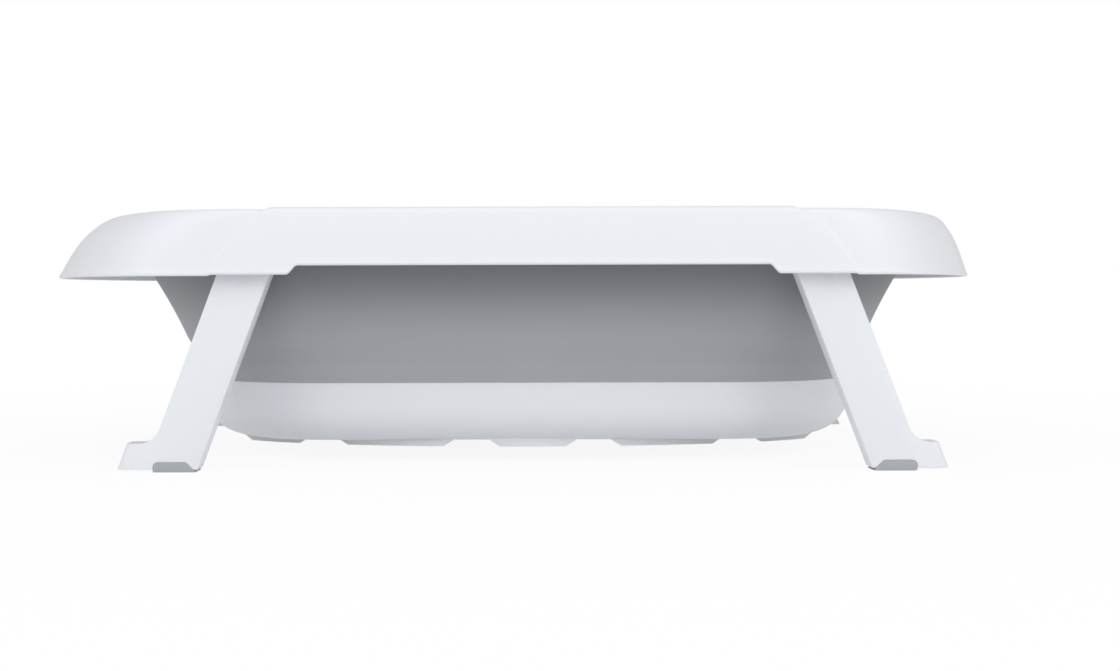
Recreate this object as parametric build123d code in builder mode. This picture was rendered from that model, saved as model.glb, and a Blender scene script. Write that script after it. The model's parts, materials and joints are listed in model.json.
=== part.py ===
from build123d import *
import os
from math import asin, cos, degrees, radians, sin, sqrt

# Collapsible baby bath: a white rim carries a grey soft wall and a rigid base tray that can
# be pushed up flat, and stands on four separate legs that fold into the rim.
# Millimetres. +X runs from the head end to the foot end, +Z is up, and the origin is on the
# floor under the middle of the rim.

os.makedirs("parts", exist_ok=True)

# ------------------------------------------------------------------ driving dimensions
# Whole bath
bath_length = 800.0
bath_width = 480.0
bath_height = 204.0

# Rim
rim_wall = 3.0
skirt_depth = 50.5
middle_rise = 1.5
head_lean = 45.0
foot_lean = 26.0
side_lean = 4.0
rim_corner = 95.0
rim_end_bow = 50.0
crest_round = 4.0
end_land = 15.0
side_land = 40.0
opening_corner = 100.0
opening_end_bow = 32.0
collar_depth = 14.5
notch_height = 7.0
notch_setback = 32.0
notch_slope = 6.0
middle_overhang = 14.0
rib_thickness = 2.0
rib_recess = 5.0
rib_wall_gap = 1.0
rib_pitch = 32.0
rib_count = 5
rib_length = 160.0
lean_even_share = 0.62
lean_top_power = 4

# Soft wall and base tray
wall_thickness = 4.0
head_wall_run = 64.0
foot_wall_run = 59.0
side_wall_run = 36.0
tray_wall = 3.0
tray_height = 49.0
tray_clearance = 16.0
tray_corner = 110.0
tray_end_bow = 15.0
tray_bottom_radius = 34.0

# Pads under the tray
pad_thickness = 5.0
pad_ring_width = 10.0
pad_ring_inset = 12.5
pad_side_inset = 22.0
pad_end_slope = 8.0
pad_spans = ((-238.0, -193.0), (-151.0, -70.0), (-23.0, 31.0), (77.0, 155.0), (198.0, 240.0))

# Drain plug
drain_from_foot = 100.0
drain_radius = 16.0
drain_collar_wall = 3.0
drain_collar_depth = 3.5
plug_stem_clearance = 2.0
plug_head_radius = 21.0
plug_head_height = 3.0
plug_tab_width = 22.0
plug_tab_height = 12.0
plug_tab_thickness = 3.0
seal_height = 1.5
seal_gap = 0.3

# Legs
leg_width = 38.2
leg_thickness = 23.0
leg_face_inset = 12.0
leg_wall = 3.0
leg_top_gap = 1.2
head_leg_tilt = 20.4
foot_leg_tilt = 20.9
head_pivot_setback = 77.8
foot_pivot_setback = 70.8
leg_cells = 4
head_toe_reach = 22.0
foot_toe_reach = 19.0
toe_height = 20.0
toe_corner = 6.0
toe_sweep = 18.0
sole_height = 2.0

# Foot pads
foot_pad_height = 8.0
foot_pad_setback = 7.0
foot_pad_slant = 8.5
foot_pad_round = 4.0
foot_pad_proud = 0.5

# Hinges
pin_radius = 4.0
pin_running_gap = 0.06
pin_press_gap = 0.02
pin_head_radius = 6.5
pin_head_height = 2.0
pin_tail = 0.8
clip_radius = 7.0
clip_thickness = 1.2
ear_thickness = 2.5
ear_gap = 0.4
ear_radius = 10.0
stop_gap = 0.3
stop_thickness = 3.0
stop_length = 38.0
flange_thickness = 3.0
flange_drop = 8.5
flange_reach = 52.0
flange_width = 15.0
screw_offsets = (32.0, 46.0)
screw_radius = 2.0
screw_hole_gap = 0.3
screw_pilot_gap = 0.05
screw_tip_gap = 0.5
screw_head_radius = 4.0
screw_head_height = 2.5
boss_radius = 4.5

# ------------------------------------------------------------------ derived places
rim_top = bath_height - middle_rise
rim_underside = rim_top - rim_wall
lip_z = rim_top - skirt_depth
collar_bottom = rim_top - collar_depth
half_length = bath_length / 2
half_width = bath_width / 2
opening_head = -half_length + head_lean + end_land
opening_foot = half_length - foot_lean - end_land
opening_half_width = half_width - side_lean - side_land

tray_bottom = tray_clearance
tray_top = tray_bottom + tray_height
tray_floor = tray_bottom + tray_wall
tray_head = opening_head + head_wall_run
tray_foot = opening_foot - foot_wall_run
tray_half_width = opening_half_width - side_wall_run
tray_middle = (tray_head + tray_foot) / 2
drain_x = tray_foot - drain_from_foot

leg_face = half_width - leg_face_inset
leg_inner = leg_face - leg_thickness
leg_half_width = leg_width / 2
pivot_z = rim_underside - leg_top_gap - leg_half_width
ear_inner = leg_inner - ear_gap - ear_thickness
ear_outer = leg_face + ear_gap + ear_thickness
flange_top = rim_underside - flange_drop
flange_y = ear_inner + flange_width / 2

# The legs of each end: which end they stand at, where they turn, how far they lean out and
# how far their toes reach.
legs = {
    "head": {
        "side": -1,
        "pivot_x": tray_head + head_pivot_setback,
        "tilt": radians(head_leg_tilt),
        "toe_reach": head_toe_reach,
    },
    "foot": {
        "side": 1,
        "pivot_x": tray_foot - foot_pivot_setback,
        "tilt": radians(foot_leg_tilt),
        "toe_reach": foot_toe_reach,
    },
}
# The two long sides of the bath: the distance from the middle plane runs along -Y or +Y.
sides = {"front": 1, "back": -1}


# ------------------------------------------------------------------ shared shapes
def bulge_radius(half, corner, bow):
    """Radius of a bulged end whose tip stands a bow further out than its corners are round."""
    return corner + bow / 2 + (half - corner) ** 2 / (2 * bow)


def rounded_end(side, tip_x, half, corner, end_radius):
    """Draw one bulged end of a plan outline, clockwise, and return its start and its finish."""
    turn = degrees(asin((half - corner) / (end_radius - corner)))
    reach = end_radius - sqrt((end_radius - corner) ** 2 - (half - corner) ** 2)
    first = JernArc((tip_x - side * reach, side * half), (side, 0), corner, turn - 90)
    middle = JernArc(first @ 1, first % 1, end_radius, -2 * turn)
    last = JernArc(middle @ 1, middle % 1, corner, turn - 90)
    return first @ 0, last @ 1


def oval(head_x, foot_x, half, corner, end_radius, inset=0.0):
    """Fill a plan outline with straight sides and bulged ends, drawn inset all round."""
    size = (half - inset, corner - inset, end_radius - inset)
    with BuildLine() as outline:
        foot_start, foot_finish = rounded_end(1, foot_x - inset, *size)
        head_start, head_finish = rounded_end(-1, head_x + inset, *size)
        Line(foot_finish, head_start)
        Line(head_finish, foot_start)
    make_face(outline.edges())


def rim_oval(share, inset=0.0):
    """Fill the rim's outline at a share of its height, 0 at the lower edge and 1 at the top."""
    lean = lean_even_share * share + (1 - lean_even_share) * share**lean_top_power
    end_radius = bulge_radius(half_width, rim_corner, rim_end_bow)
    head = -half_length + head_lean * lean
    foot = half_length - foot_lean * lean
    corner = rim_corner - side_lean * lean
    oval(head, foot, half_width - side_lean * lean, corner, end_radius, inset)


def opening_oval(inset=0.0):
    """Fill the outline of the bath's mouth."""
    end_radius = bulge_radius(opening_half_width, opening_corner, opening_end_bow)
    oval(opening_head, opening_foot, opening_half_width, opening_corner, end_radius, inset)


def tray_oval(inset=0.0):
    """Fill the outline of the base tray."""
    end_radius = bulge_radius(tray_half_width, tray_corner, tray_end_bow)
    oval(tray_head, tray_foot, tray_half_width, tray_corner, end_radius, inset)


def side_plane(side, distance, depth):
    """Plane for a piece between two distances from the middle plane, extruded towards -Y."""
    return Plane.XZ.offset(distance if side > 0 else -distance - depth)


def leg_point(leg, along, outward):
    """Point in the XZ plane, along a leg from its pivot and outward from its middle line."""
    across = cos(leg["tilt"])
    down = sin(leg["tilt"])
    x = leg["pivot_x"] + leg["side"] * (along * down + outward * across)
    return (x, pivot_z - along * across + outward * down)


def leg_point_at(leg, height, outward):
    """Point in the XZ plane at a height, outward from the middle line of a leg."""
    along = (pivot_z - height + outward * sin(leg["tilt"])) / cos(leg["tilt"])
    return leg_point(leg, along, outward)


# ------------------------------------------------------------------ rim
section_shares = (0.0, 0.35, 0.7, 1.0)

with BuildPart() as rim_hollow:
    for section_share in section_shares:
        section_z = lip_z + section_share * skirt_depth - rim_wall
        with BuildSketch(Plane.XY.offset(section_z)):
            rim_oval(section_share, rim_wall)
    loft()

with BuildPart() as end_ribs:
    with BuildSketch(Plane.XY.offset(lip_z + rib_recess)):
        for end_x in (opening_head, opening_foot):
            with GridLocations(0, rib_pitch, 1, rib_count):
                with Locations((end_x, 0)):
                    Rectangle(rib_length, rib_thickness)
    extrude(amount=rim_top - lip_z - rib_recess)
    add(rim_hollow.part, mode=Mode.INTERSECT)
    with BuildSketch(Plane.XY.offset(lip_z)):
        opening_oval(-rim_wall - rib_wall_gap)
    extrude(amount=bath_height, mode=Mode.SUBTRACT)

with BuildPart() as rim:
    for section_share in section_shares:
        with BuildSketch(Plane.XY.offset(lip_z + section_share * skirt_depth)):
            rim_oval(section_share)
    loft()
    fillet(rim.faces().sort_by(Axis.Z)[-1].edges(), crest_round)
    add(rim_hollow.part, mode=Mode.SUBTRACT)
    # Collar that turns down around the mouth and carries the soft wall.
    with BuildSketch(Plane.XY.offset(collar_bottom)):
        opening_oval(-rim_wall)
    extrude(amount=rim_underside - collar_bottom)
    # Raised middle section, from just outside the head legs to just outside the foot legs.
    with BuildSketch(Plane.XY.offset(rim_top)):
        rim_oval(1.0, crest_round + middle_rise)
        middle_head = legs["head"]["pivot_x"] - middle_overhang
        middle_foot = legs["foot"]["pivot_x"] + middle_overhang
        with Locations(((middle_head + middle_foot) / 2, 0)):
            Rectangle(middle_foot - middle_head, bath_width, mode=Mode.INTERSECT)
    extrude(amount=middle_rise)
    with BuildSketch(Plane.XY.offset(collar_bottom)):
        opening_oval()
    extrude(amount=bath_height, mode=Mode.SUBTRACT)
    # Finger notch in the lower edge of both long sides, between the legs.
    with BuildSketch(Plane.XZ):
        notch_head = legs["head"]["pivot_x"] + notch_setback
        notch_foot = legs["foot"]["pivot_x"] - notch_setback
        notch_z = lip_z + notch_height
        with BuildLine():
            Polyline(
                (notch_head - notch_slope, lip_z - rim_wall),
                (notch_head, notch_z),
                (notch_foot, notch_z),
                (notch_foot + notch_slope, lip_z - rim_wall),
                close=True,
            )
        make_face()
    extrude(amount=half_width, both=True, mode=Mode.SUBTRACT)
    add(end_ribs.part)
    # Screw bosses for the hinge brackets.
    with BuildSketch(Plane.XY.offset(flange_top)):
        for leg in legs.values():
            for offset_x in screw_offsets:
                for side in sides.values():
                    with Locations((leg["pivot_x"] + leg["side"] * offset_x, -side * flange_y)):
                        Circle(boss_radius)
                        Circle(screw_radius + screw_pilot_gap, mode=Mode.SUBTRACT)
    extrude(amount=rim_underside - flange_top)
rim.part.label = "rim"
export_step(rim.part, "parts/rim.step")

# ------------------------------------------------------------------ soft wall
wall_overlap = (wall_thickness - rim_wall) / 2
with BuildPart() as side_wall:
    for skin, cut in ((0.0, Mode.ADD), (wall_thickness, Mode.SUBTRACT)):
        with BuildSketch(Plane.XY.offset(tray_top)):
            tray_oval(skin - wall_overlap)
        with BuildSketch(Plane.XY.offset(collar_bottom)):
            opening_oval(skin - rim_wall - wall_overlap)
        loft(mode=cut)
side_wall.part.label = "side_wall"
export_step(side_wall.part, "parts/side_wall.step")

# ------------------------------------------------------------------ base tray
with BuildPart() as tray_outside:
    with BuildSketch(Plane.XY.offset(tray_bottom)):
        tray_oval()
    extrude(amount=tray_height)
    fillet(tray_outside.faces().sort_by(Axis.Z)[0].edges(), tray_bottom_radius)

with BuildPart() as base_tray:
    add(tray_outside.part)
    offset(amount=-tray_wall, openings=base_tray.faces().sort_by(Axis.Z)[-1])
    with BuildSketch(Plane.XY.offset(tray_bottom - drain_collar_depth)):
        with Locations((drain_x, 0)):
            Circle(drain_radius + drain_collar_wall)
    extrude(amount=drain_collar_depth)
    with BuildSketch(Plane.XY.offset(tray_bottom - drain_collar_depth)):
        with Locations((drain_x, 0)):
            Circle(drain_radius)
    extrude(amount=drain_collar_depth + tray_wall, mode=Mode.SUBTRACT)
base_tray.part.label = "base_tray"
export_step(base_tray.part, "parts/base_tray.step")

# ------------------------------------------------------------------ pads under the tray
pad_bottom = tray_bottom - pad_thickness
ring_half_length = (tray_foot - tray_head) / 2 - pad_ring_inset
ring_half_width = tray_half_width - pad_side_inset
with BuildPart() as base_pads:
    with BuildSketch(Plane.XY.offset(pad_bottom)):
        with Locations((tray_middle, 0)):
            Ellipse(ring_half_length, ring_half_width)
            Ellipse(
                ring_half_length - pad_ring_width,
                ring_half_width - pad_ring_width,
                mode=Mode.SUBTRACT,
            )
    extrude(amount=pad_thickness + tray_bottom_radius)
    with BuildSketch(Plane.XZ):
        pad_top = tray_bottom + tray_bottom_radius
        for start, finish in pad_spans:
            with BuildLine():
                Polyline(
                    (tray_middle + start, pad_bottom),
                    (tray_middle + start - pad_end_slope, tray_bottom),
                    (tray_middle + start - pad_end_slope, pad_top),
                    (tray_middle + finish + pad_end_slope, pad_top),
                    (tray_middle + finish + pad_end_slope, tray_bottom),
                    (tray_middle + finish, pad_bottom),
                    close=True,
                )
            make_face()
    extrude(amount=half_width, both=True, mode=Mode.INTERSECT)
    add(tray_outside.part, mode=Mode.SUBTRACT)
base_pads.part.label = "base_pads"
export_step(base_pads.part, "parts/base_pads.step")

# ------------------------------------------------------------------ drain plug and its seal
stem_radius = drain_radius - plug_stem_clearance
seal_bottom = tray_floor + seal_gap
plug_head_bottom = seal_bottom + seal_height
with BuildPart() as drain_plug:
    with BuildSketch(Plane.XY.offset(tray_bottom - drain_collar_depth)):
        with Locations((drain_x, 0)):
            Circle(stem_radius)
    extrude(amount=plug_head_bottom - tray_bottom + drain_collar_depth)
    with BuildSketch(Plane.XY.offset(plug_head_bottom)):
        with Locations((drain_x, 0)):
            Circle(plug_head_radius)
    extrude(amount=plug_head_height)
    with BuildSketch(Plane.XZ):
        with Locations((drain_x, plug_head_bottom + plug_head_height + plug_tab_height / 2)):
            Rectangle(plug_tab_width, plug_tab_height)
            fillet(vertices().group_by(Axis.Y)[-1], plug_tab_height / 2)
    extrude(amount=plug_tab_thickness / 2, both=True)
drain_plug.part.label = "drain_plug"
export_step(drain_plug.part, "parts/drain_plug.step")

with BuildPart() as plug_seal:
    with BuildSketch(Plane.XY.offset(seal_bottom)):
        with Locations((drain_x, 0)):
            Circle(plug_head_radius)
            Circle(stem_radius, mode=Mode.SUBTRACT)
    extrude(amount=seal_height)
plug_seal.part.label = "plug_seal"
export_step(plug_seal.part, "parts/plug_seal.step")


# ------------------------------------------------------------------ legs and foot pads
def foot_pad_face(leg):
    """Fill the side outline of a foot pad, slanted towards the inner corner of its leg."""
    side = leg["side"]
    outer_x = leg_point_at(leg, 0, leg_half_width)[0] - side * foot_pad_setback
    inner_x = leg_point_at(leg, 0, -leg_half_width)[0]
    with BuildLine() as outline:
        Polyline(
            (outer_x, 0),
            (inner_x, 0),
            (inner_x + side * foot_pad_slant, foot_pad_height),
            (outer_x, foot_pad_height),
            close=True,
        )
    make_face(outline.edges())
    fillet(vertices().sort_by_distance((outer_x, foot_pad_height))[0], foot_pad_round)


def leg_face_outline(leg):
    """Fill the side outline of a leg: round about its pivot, with a toe at its level sole."""
    toe = leg["side"] * leg["toe_reach"]
    sole = leg_point_at(leg, sole_height, leg_half_width)
    instep = leg_point_at(leg, sole_height + toe_height, leg_half_width)
    with BuildLine() as outline:
        ThreePointArc(
            leg_point(leg, 0, leg_half_width),
            leg_point(leg, -leg_half_width, 0),
            leg_point(leg, 0, -leg_half_width),
        )
        Polyline(
            leg_point(leg, 0, -leg_half_width),
            leg_point_at(leg, sole_height, -leg_half_width),
            (sole[0] + toe, sole[1]),
            (instep[0] + toe, instep[1]),
            instep,
            leg_point(leg, 0, leg_half_width),
        )
    make_face(outline.edges())
    fillet(vertices().sort_by_distance(instep)[0], toe_sweep)


def leg_cell_faces(leg):
    """Fill the side outlines of the open cells moulded into the inner side of a leg."""
    start = leg_half_width
    finish = (pivot_z - foot_pad_height) / cos(leg["tilt"]) - leg_half_width
    pitch = (finish - start) / leg_cells
    half = leg_half_width - leg_wall
    for cell in range(leg_cells):
        top = start + cell * pitch
        bottom = top + pitch - leg_wall
        with BuildLine() as outline:
            Polyline(
                leg_point(leg, top, -half),
                leg_point(leg, bottom, -half),
                leg_point(leg, bottom, half),
                leg_point(leg, top, half),
                close=True,
            )
        make_face(outline.edges())


def folding_leg(leg, side):
    """Build a leg: closed on its outer face, with cells that open towards the tray."""
    with BuildPart() as strip:
        with BuildSketch(side_plane(side, leg_inner, leg_thickness)):
            leg_face_outline(leg)
        extrude(amount=leg_thickness)
        toe_end = strip.faces().sort_by(Axis.X)[-1 if leg["side"] > 0 else 0]
        fillet(toe_end.edges().sort_by(Axis.Y)[0 if side > 0 else -1], toe_corner)
        with BuildSketch(side_plane(side, leg_inner, leg_thickness - leg_wall)):
            leg_cell_faces(leg)
        extrude(amount=leg_thickness - leg_wall, mode=Mode.SUBTRACT)
        with BuildSketch(Plane.XZ):
            with Locations((leg["pivot_x"], pivot_z)):
                Circle(pin_radius + pin_running_gap)
            foot_pad_face(leg)
        extrude(amount=half_width, both=True, mode=Mode.SUBTRACT)
    return strip.part


def foot_pad(leg, side):
    """Build the rubber pad that fills the recess in a leg's sole."""
    depth = leg_thickness + foot_pad_proud
    with BuildPart() as pad:
        with BuildSketch(side_plane(side, leg_inner, depth)):
            foot_pad_face(leg)
        extrude(amount=depth)
    return pad.part


# ------------------------------------------------------------------ hinges
def hinge_bracket(leg, side):
    """Build a bracket: two ears for the pin, the stop of the open leg and a screw flange."""
    pivot = (leg["pivot_x"], pivot_z)
    inward = -leg["side"] * ear_radius
    stop_bottom = rim_underside - stop_length
    stop_inner = leg_half_width + stop_gap
    stop_outer = stop_inner + stop_thickness
    stop_corners = (
        leg_point_at(leg, rim_underside, stop_outer),
        leg_point_at(leg, stop_bottom, stop_outer),
        leg_point_at(leg, stop_bottom, stop_inner),
        leg_point_at(leg, rim_underside, stop_inner),
    )
    width = ear_outer - ear_inner
    flange_end = leg["pivot_x"] + leg["side"] * flange_reach
    flange_start = leg_point_at(leg, flange_top, stop_inner + stop_thickness / 2)[0]
    with BuildPart() as bracket:
        for ear_start in (ear_inner, leg_face + ear_gap):
            with BuildSketch(side_plane(side, ear_start, ear_thickness)):
                with BuildLine():
                    Polyline(
                        stop_corners[0],
                        stop_corners[1],
                        (pivot[0], pivot[1] - ear_radius),
                        (pivot[0] + inward, pivot[1]),
                        (pivot[0] + inward, rim_underside),
                        close=True,
                    )
                make_face()
                with Locations(pivot):
                    Circle(ear_radius)
            extrude(amount=ear_thickness)
        with BuildSketch(side_plane(side, ear_inner, width)):
            with BuildLine():
                Polyline(*stop_corners, close=True)
            make_face()
        extrude(amount=width)
        with BuildSketch(Plane.XY.offset(flange_top - flange_thickness)):
            with Locations(((flange_start + flange_end) / 2, -side * flange_y)):
                Rectangle(abs(flange_end - flange_start), flange_width)
            for offset_x in screw_offsets:
                with Locations((leg["pivot_x"] + leg["side"] * offset_x, -side * flange_y)):
                    Circle(screw_radius + screw_hole_gap, mode=Mode.SUBTRACT)
        extrude(amount=flange_thickness)
        with BuildSketch(Plane.XZ):
            with Locations(pivot):
                Circle(pin_radius + pin_press_gap)
        extrude(amount=half_width, both=True, mode=Mode.SUBTRACT)
    return bracket.part


def hinge_pin(leg, side):
    """Build a headed hinge pin, put in from the side of the tub."""
    head_start = ear_inner - pin_head_height
    shank = ear_outer + clip_thickness + pin_tail - ear_inner
    with BuildPart() as pin:
        with BuildSketch(side_plane(side, head_start, pin_head_height)):
            with Locations((leg["pivot_x"], pivot_z)):
                Circle(pin_head_radius)
        extrude(amount=pin_head_height)
        with BuildSketch(side_plane(side, ear_inner, shank)):
            with Locations((leg["pivot_x"], pivot_z)):
                Circle(pin_radius)
        extrude(amount=shank)
    return pin.part


def pin_clip(leg, side):
    """Build the push-on washer that keeps a hinge pin in its bracket."""
    with BuildPart() as clip:
        with BuildSketch(side_plane(side, ear_outer, clip_thickness)):
            with Locations((leg["pivot_x"], pivot_z)):
                Circle(clip_radius)
                Circle(pin_radius + pin_press_gap, mode=Mode.SUBTRACT)
        extrude(amount=clip_thickness)
    return clip.part


for end, leg in legs.items():
    for name, side in sides.items():
        pieces = {
            "leg": folding_leg(leg, side),
            "foot_pad": foot_pad(leg, side),
            "hinge_bracket": hinge_bracket(leg, side),
            "hinge_pin": hinge_pin(leg, side),
            "pin_clip": pin_clip(leg, side),
        }
        for piece_name, piece in pieces.items():
            piece.label = f"{end}_{name}_{piece_name}"
            export_step(piece, f"parts/{end}_{name}_{piece_name}.step")

# Eight equal self-tapping screws, put in from below.
screw_places = [
    (leg["pivot_x"] + leg["side"] * offset_x, -side * flange_y)
    for leg in legs.values()
    for side in sides.values()
    for offset_x in screw_offsets
]
flange_underside = flange_top - flange_thickness
with BuildPart() as bracket_screws:
    with BuildSketch(Plane.XY.offset(flange_underside - screw_head_height)):
        with Locations(*screw_places):
            Circle(screw_head_radius)
    extrude(amount=screw_head_height)
    with BuildSketch(Plane.XY.offset(flange_underside)):
        with Locations(*screw_places):
            Circle(screw_radius)
    extrude(amount=rim_underside - screw_tip_gap - flange_underside)
bracket_screws.part.label = "bracket_screws"
export_step(bracket_screws.part, "parts/bracket_screws.step")
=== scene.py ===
import json
import math

import bmesh
import bpy
from bpy.props import FloatProperty, FloatVectorProperty, IntProperty, PointerProperty
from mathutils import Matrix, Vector

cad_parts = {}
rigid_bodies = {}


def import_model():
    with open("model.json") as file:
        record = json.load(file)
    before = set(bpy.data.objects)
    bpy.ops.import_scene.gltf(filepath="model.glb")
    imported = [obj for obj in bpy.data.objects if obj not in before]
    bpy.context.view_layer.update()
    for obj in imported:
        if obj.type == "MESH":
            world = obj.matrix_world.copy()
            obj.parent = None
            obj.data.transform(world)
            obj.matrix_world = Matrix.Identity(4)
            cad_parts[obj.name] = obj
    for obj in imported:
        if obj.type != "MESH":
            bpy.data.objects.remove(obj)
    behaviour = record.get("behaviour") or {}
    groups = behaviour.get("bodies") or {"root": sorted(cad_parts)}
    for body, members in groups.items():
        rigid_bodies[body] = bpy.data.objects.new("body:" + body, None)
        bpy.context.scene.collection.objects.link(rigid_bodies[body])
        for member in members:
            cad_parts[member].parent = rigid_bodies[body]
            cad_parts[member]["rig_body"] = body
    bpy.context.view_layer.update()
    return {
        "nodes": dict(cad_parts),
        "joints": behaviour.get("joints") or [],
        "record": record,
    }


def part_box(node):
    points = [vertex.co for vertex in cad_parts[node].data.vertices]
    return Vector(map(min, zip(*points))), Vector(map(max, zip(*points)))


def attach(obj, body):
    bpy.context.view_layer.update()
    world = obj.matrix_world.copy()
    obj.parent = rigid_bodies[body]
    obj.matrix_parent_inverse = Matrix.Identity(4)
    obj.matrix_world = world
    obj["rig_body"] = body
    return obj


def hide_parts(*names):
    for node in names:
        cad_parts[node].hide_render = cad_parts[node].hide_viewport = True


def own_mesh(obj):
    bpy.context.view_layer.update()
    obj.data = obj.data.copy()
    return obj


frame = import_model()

bl_info = {
    "name": "Collapsible baby bath",
    "version": (1, 0, 0),
    "blender": (4, 5, 0),
    "location": "View3D > Sidebar > Bath",
    "description": "Builds the visible pieces and finishes of a collapsible baby bath",
    "category": "Add Mesh",
}

MM = 0.001
WELD = 0.002 * MM
FLAT_ANGLE = math.radians(0.6)
EDGE_ANGLE = math.radians(38)
EDGE_SEGMENTS = 3
DRUM_SIDES = 32
SMOOTH_DEGREES = 35.0
RIM_SMOOTH_DEGREES = 50.0
WALL_SMOOTH_DEGREES = 60.0

# Places taken from the solids, in metres.
RIM_LOW, RIM_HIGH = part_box("rim")
TRAY_LOW, TRAY_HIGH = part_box("base_tray")
WALL_LOW, WALL_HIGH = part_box("side_wall")
HINGE_PINS = {end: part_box(f"{end}_front_hinge_pin") for end in ("head", "foot")}
ENDS = {"head": -1, "foot": 1}
FACES = {"front": -1, "back": 1}


# ---------------------------------------------------------------- settings
def length(name, description, default, low=0.0, high=1.0):
    """A length in metres that a user can change."""
    return FloatProperty(
        name=name, description=description, default=default, min=low, max=high, unit="LENGTH"
    )


def colour(name, description, default):
    """A linear colour that a user can change."""
    return FloatVectorProperty(
        name=name, description=description, default=default, size=3, min=0, max=1, subtype="COLOR"
    )


class BathSizes(bpy.types.PropertyGroup):
    rim_wall: length("Rim wall", "Thickness of the rim's moulded skin", 3.0 * MM)
    head_lean: length("Head lean", "How far the head end leans inward", 45.0 * MM)
    foot_lean: length("Foot lean", "How far the foot end leans inward", 26.0 * MM)
    side_lean: length("Side lean", "How far the long sides lean inward", 4.0 * MM)
    rim_corner: length("Rim corner", "Corner radius of the rim in plan", 95.0 * MM)
    rim_bow: length("Rim bow", "How far the rim's ends bulge", 50.0 * MM, 1 * MM)
    mouth_corner: length("Mouth corner", "Corner radius of the mouth in plan", 100.0 * MM)
    mouth_bow: length("Mouth bow", "How far the mouth's ends bulge", 32.0 * MM, 1 * MM)
    tray_corner: length("Tray corner", "Corner radius of the tray in plan", 110.0 * MM)
    tray_bow: length("Tray bow", "How far the tray's ends bulge", 15.0 * MM, 1 * MM)
    raised: length("Raised middle", "Height of the middle of the rim over its ends", 1.5 * MM)
    proud: length("Proud middle", "How far the middle stands out from the ends", 0.9 * MM)
    end_drop: length("End drop", "How far the ends reach below the middle", 0.9 * MM)
    crease_width: length("Crease width", "Half the width of the step between them", 1.5 * MM)
    crest: length("Crest", "Size of the rounding over the rim's top edge", 5.0 * MM)
    mouth_round: length("Mouth round", "Size of the rounding into the mouth", 3.0 * MM)
    bead: length("Lip bead", "How far the lip swells outward", 0.5 * MM)
    notch_height: length("Notch height", "Height of the finger notch", 7.0 * MM)
    notch_slope: length("Notch slope", "Length of the notch's slanted ends", 6.0 * MM)
    notch_setback: length("Notch setback", "From a hinge to the notch", 32.0 * MM)
    edge_round: length("Edge round", "Rounding of the moulded pieces' edges", 0.9 * MM)
    pad_round: length("Pad round", "Rounding of the soft pads' edges", 0.8 * MM)
    metal_round: length("Metal round", "Rounding of the metal pieces' edges", 0.3 * MM)


class WallSizes(bpy.types.PropertyGroup):
    thickness: length("Wall thickness", "Thickness of the soft wall", 4.0 * MM)
    sag_share: FloatProperty(
        name="Sag", description="How far the wall curves inward halfway, as a share of its run",
        default=0.08, min=0, max=0.3,
    )
    fold_bulge: length("Fold bulge", "How far the lowest fold swells outward", 2.2 * MM)
    groove: length("Groove", "Depth of the groove above the lowest fold", 0.9 * MM)
    fold_place: FloatProperty(
        name="Fold place", description="Where the lowest fold is, down the wall",
        default=0.9, min=0, max=1,
    )
    fold_width: FloatProperty(
        name="Fold width", description="Width of the lowest fold, as a share of the wall",
        default=0.055, min=0.001, max=1,
    )
    groove_rise: FloatProperty(
        name="Groove rise", description="From the fold up to the groove, as a share of the wall",
        default=0.13, min=0, max=1,
    )
    groove_width: FloatProperty(
        name="Groove width", description="Width of the groove, as a share of the wall",
        default=0.03, min=0.001, max=1,
    )


class RepeatSizes(bpy.types.PropertyGroup):
    rib_count: IntProperty(name="Ribs", description="Ribs under each end", default=5, min=1)
    rib_pitch: length("Rib pitch", "Distance between the ribs", 32.0 * MM)
    rib_thickness: length("Rib thickness", "Thickness of a rib", 2.0 * MM)
    rib_recess: length("Rib recess", "From the rim's lip up to a rib", 5.0 * MM)
    rib_gap: length("Rib gap", "From the collar to a rib", 1.0 * MM)
    boss_drop: length("Boss drop", "Length of a boss under the rim", 8.5 * MM)
    boss_radius: length("Boss radius", "Radius of a screw boss", 4.5 * MM)
    head_radius: length("Screw head radius", "Radius of a screw head", 4.0 * MM)
    head_height: length("Screw head height", "Height of a screw head", 2.5 * MM)
    shank_radius: length("Shank radius", "Radius of a screw shank", 2.0 * MM)
    recess_width: length("Recess width", "Width of the cross in a screw head", 1.0 * MM)


class BathColours(bpy.types.PropertyGroup):
    white: colour("White plastic", "Rim, tray and legs", (0.85, 0.872, 0.915))
    soft_wall: colour("Soft wall", "The wall that folds", (0.395, 0.408, 0.435))
    # Painted shade: the soft wall's outside is painted darker up under the rim, where the rim's
    # shade falls.
    painted_wall_shade: colour(
        "Wall shade", "The soft wall's outside, up under the rim", (0.165, 0.172, 0.187)
    )
    pads: colour("Base pads", "Soft pads under the tray", (0.88, 0.90, 0.925))
    rubber: colour("Foot rubber", "Pads under the legs", (0.40, 0.42, 0.445))
    plug: colour("Plug", "Drain plug", (0.38, 0.39, 0.40))
    steel: colour("Steel", "Pins, clips and screws", (0.60, 0.61, 0.63))
    floor: colour("Floor", "Floor and backdrop", (0.97, 0.97, 0.97))


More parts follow.
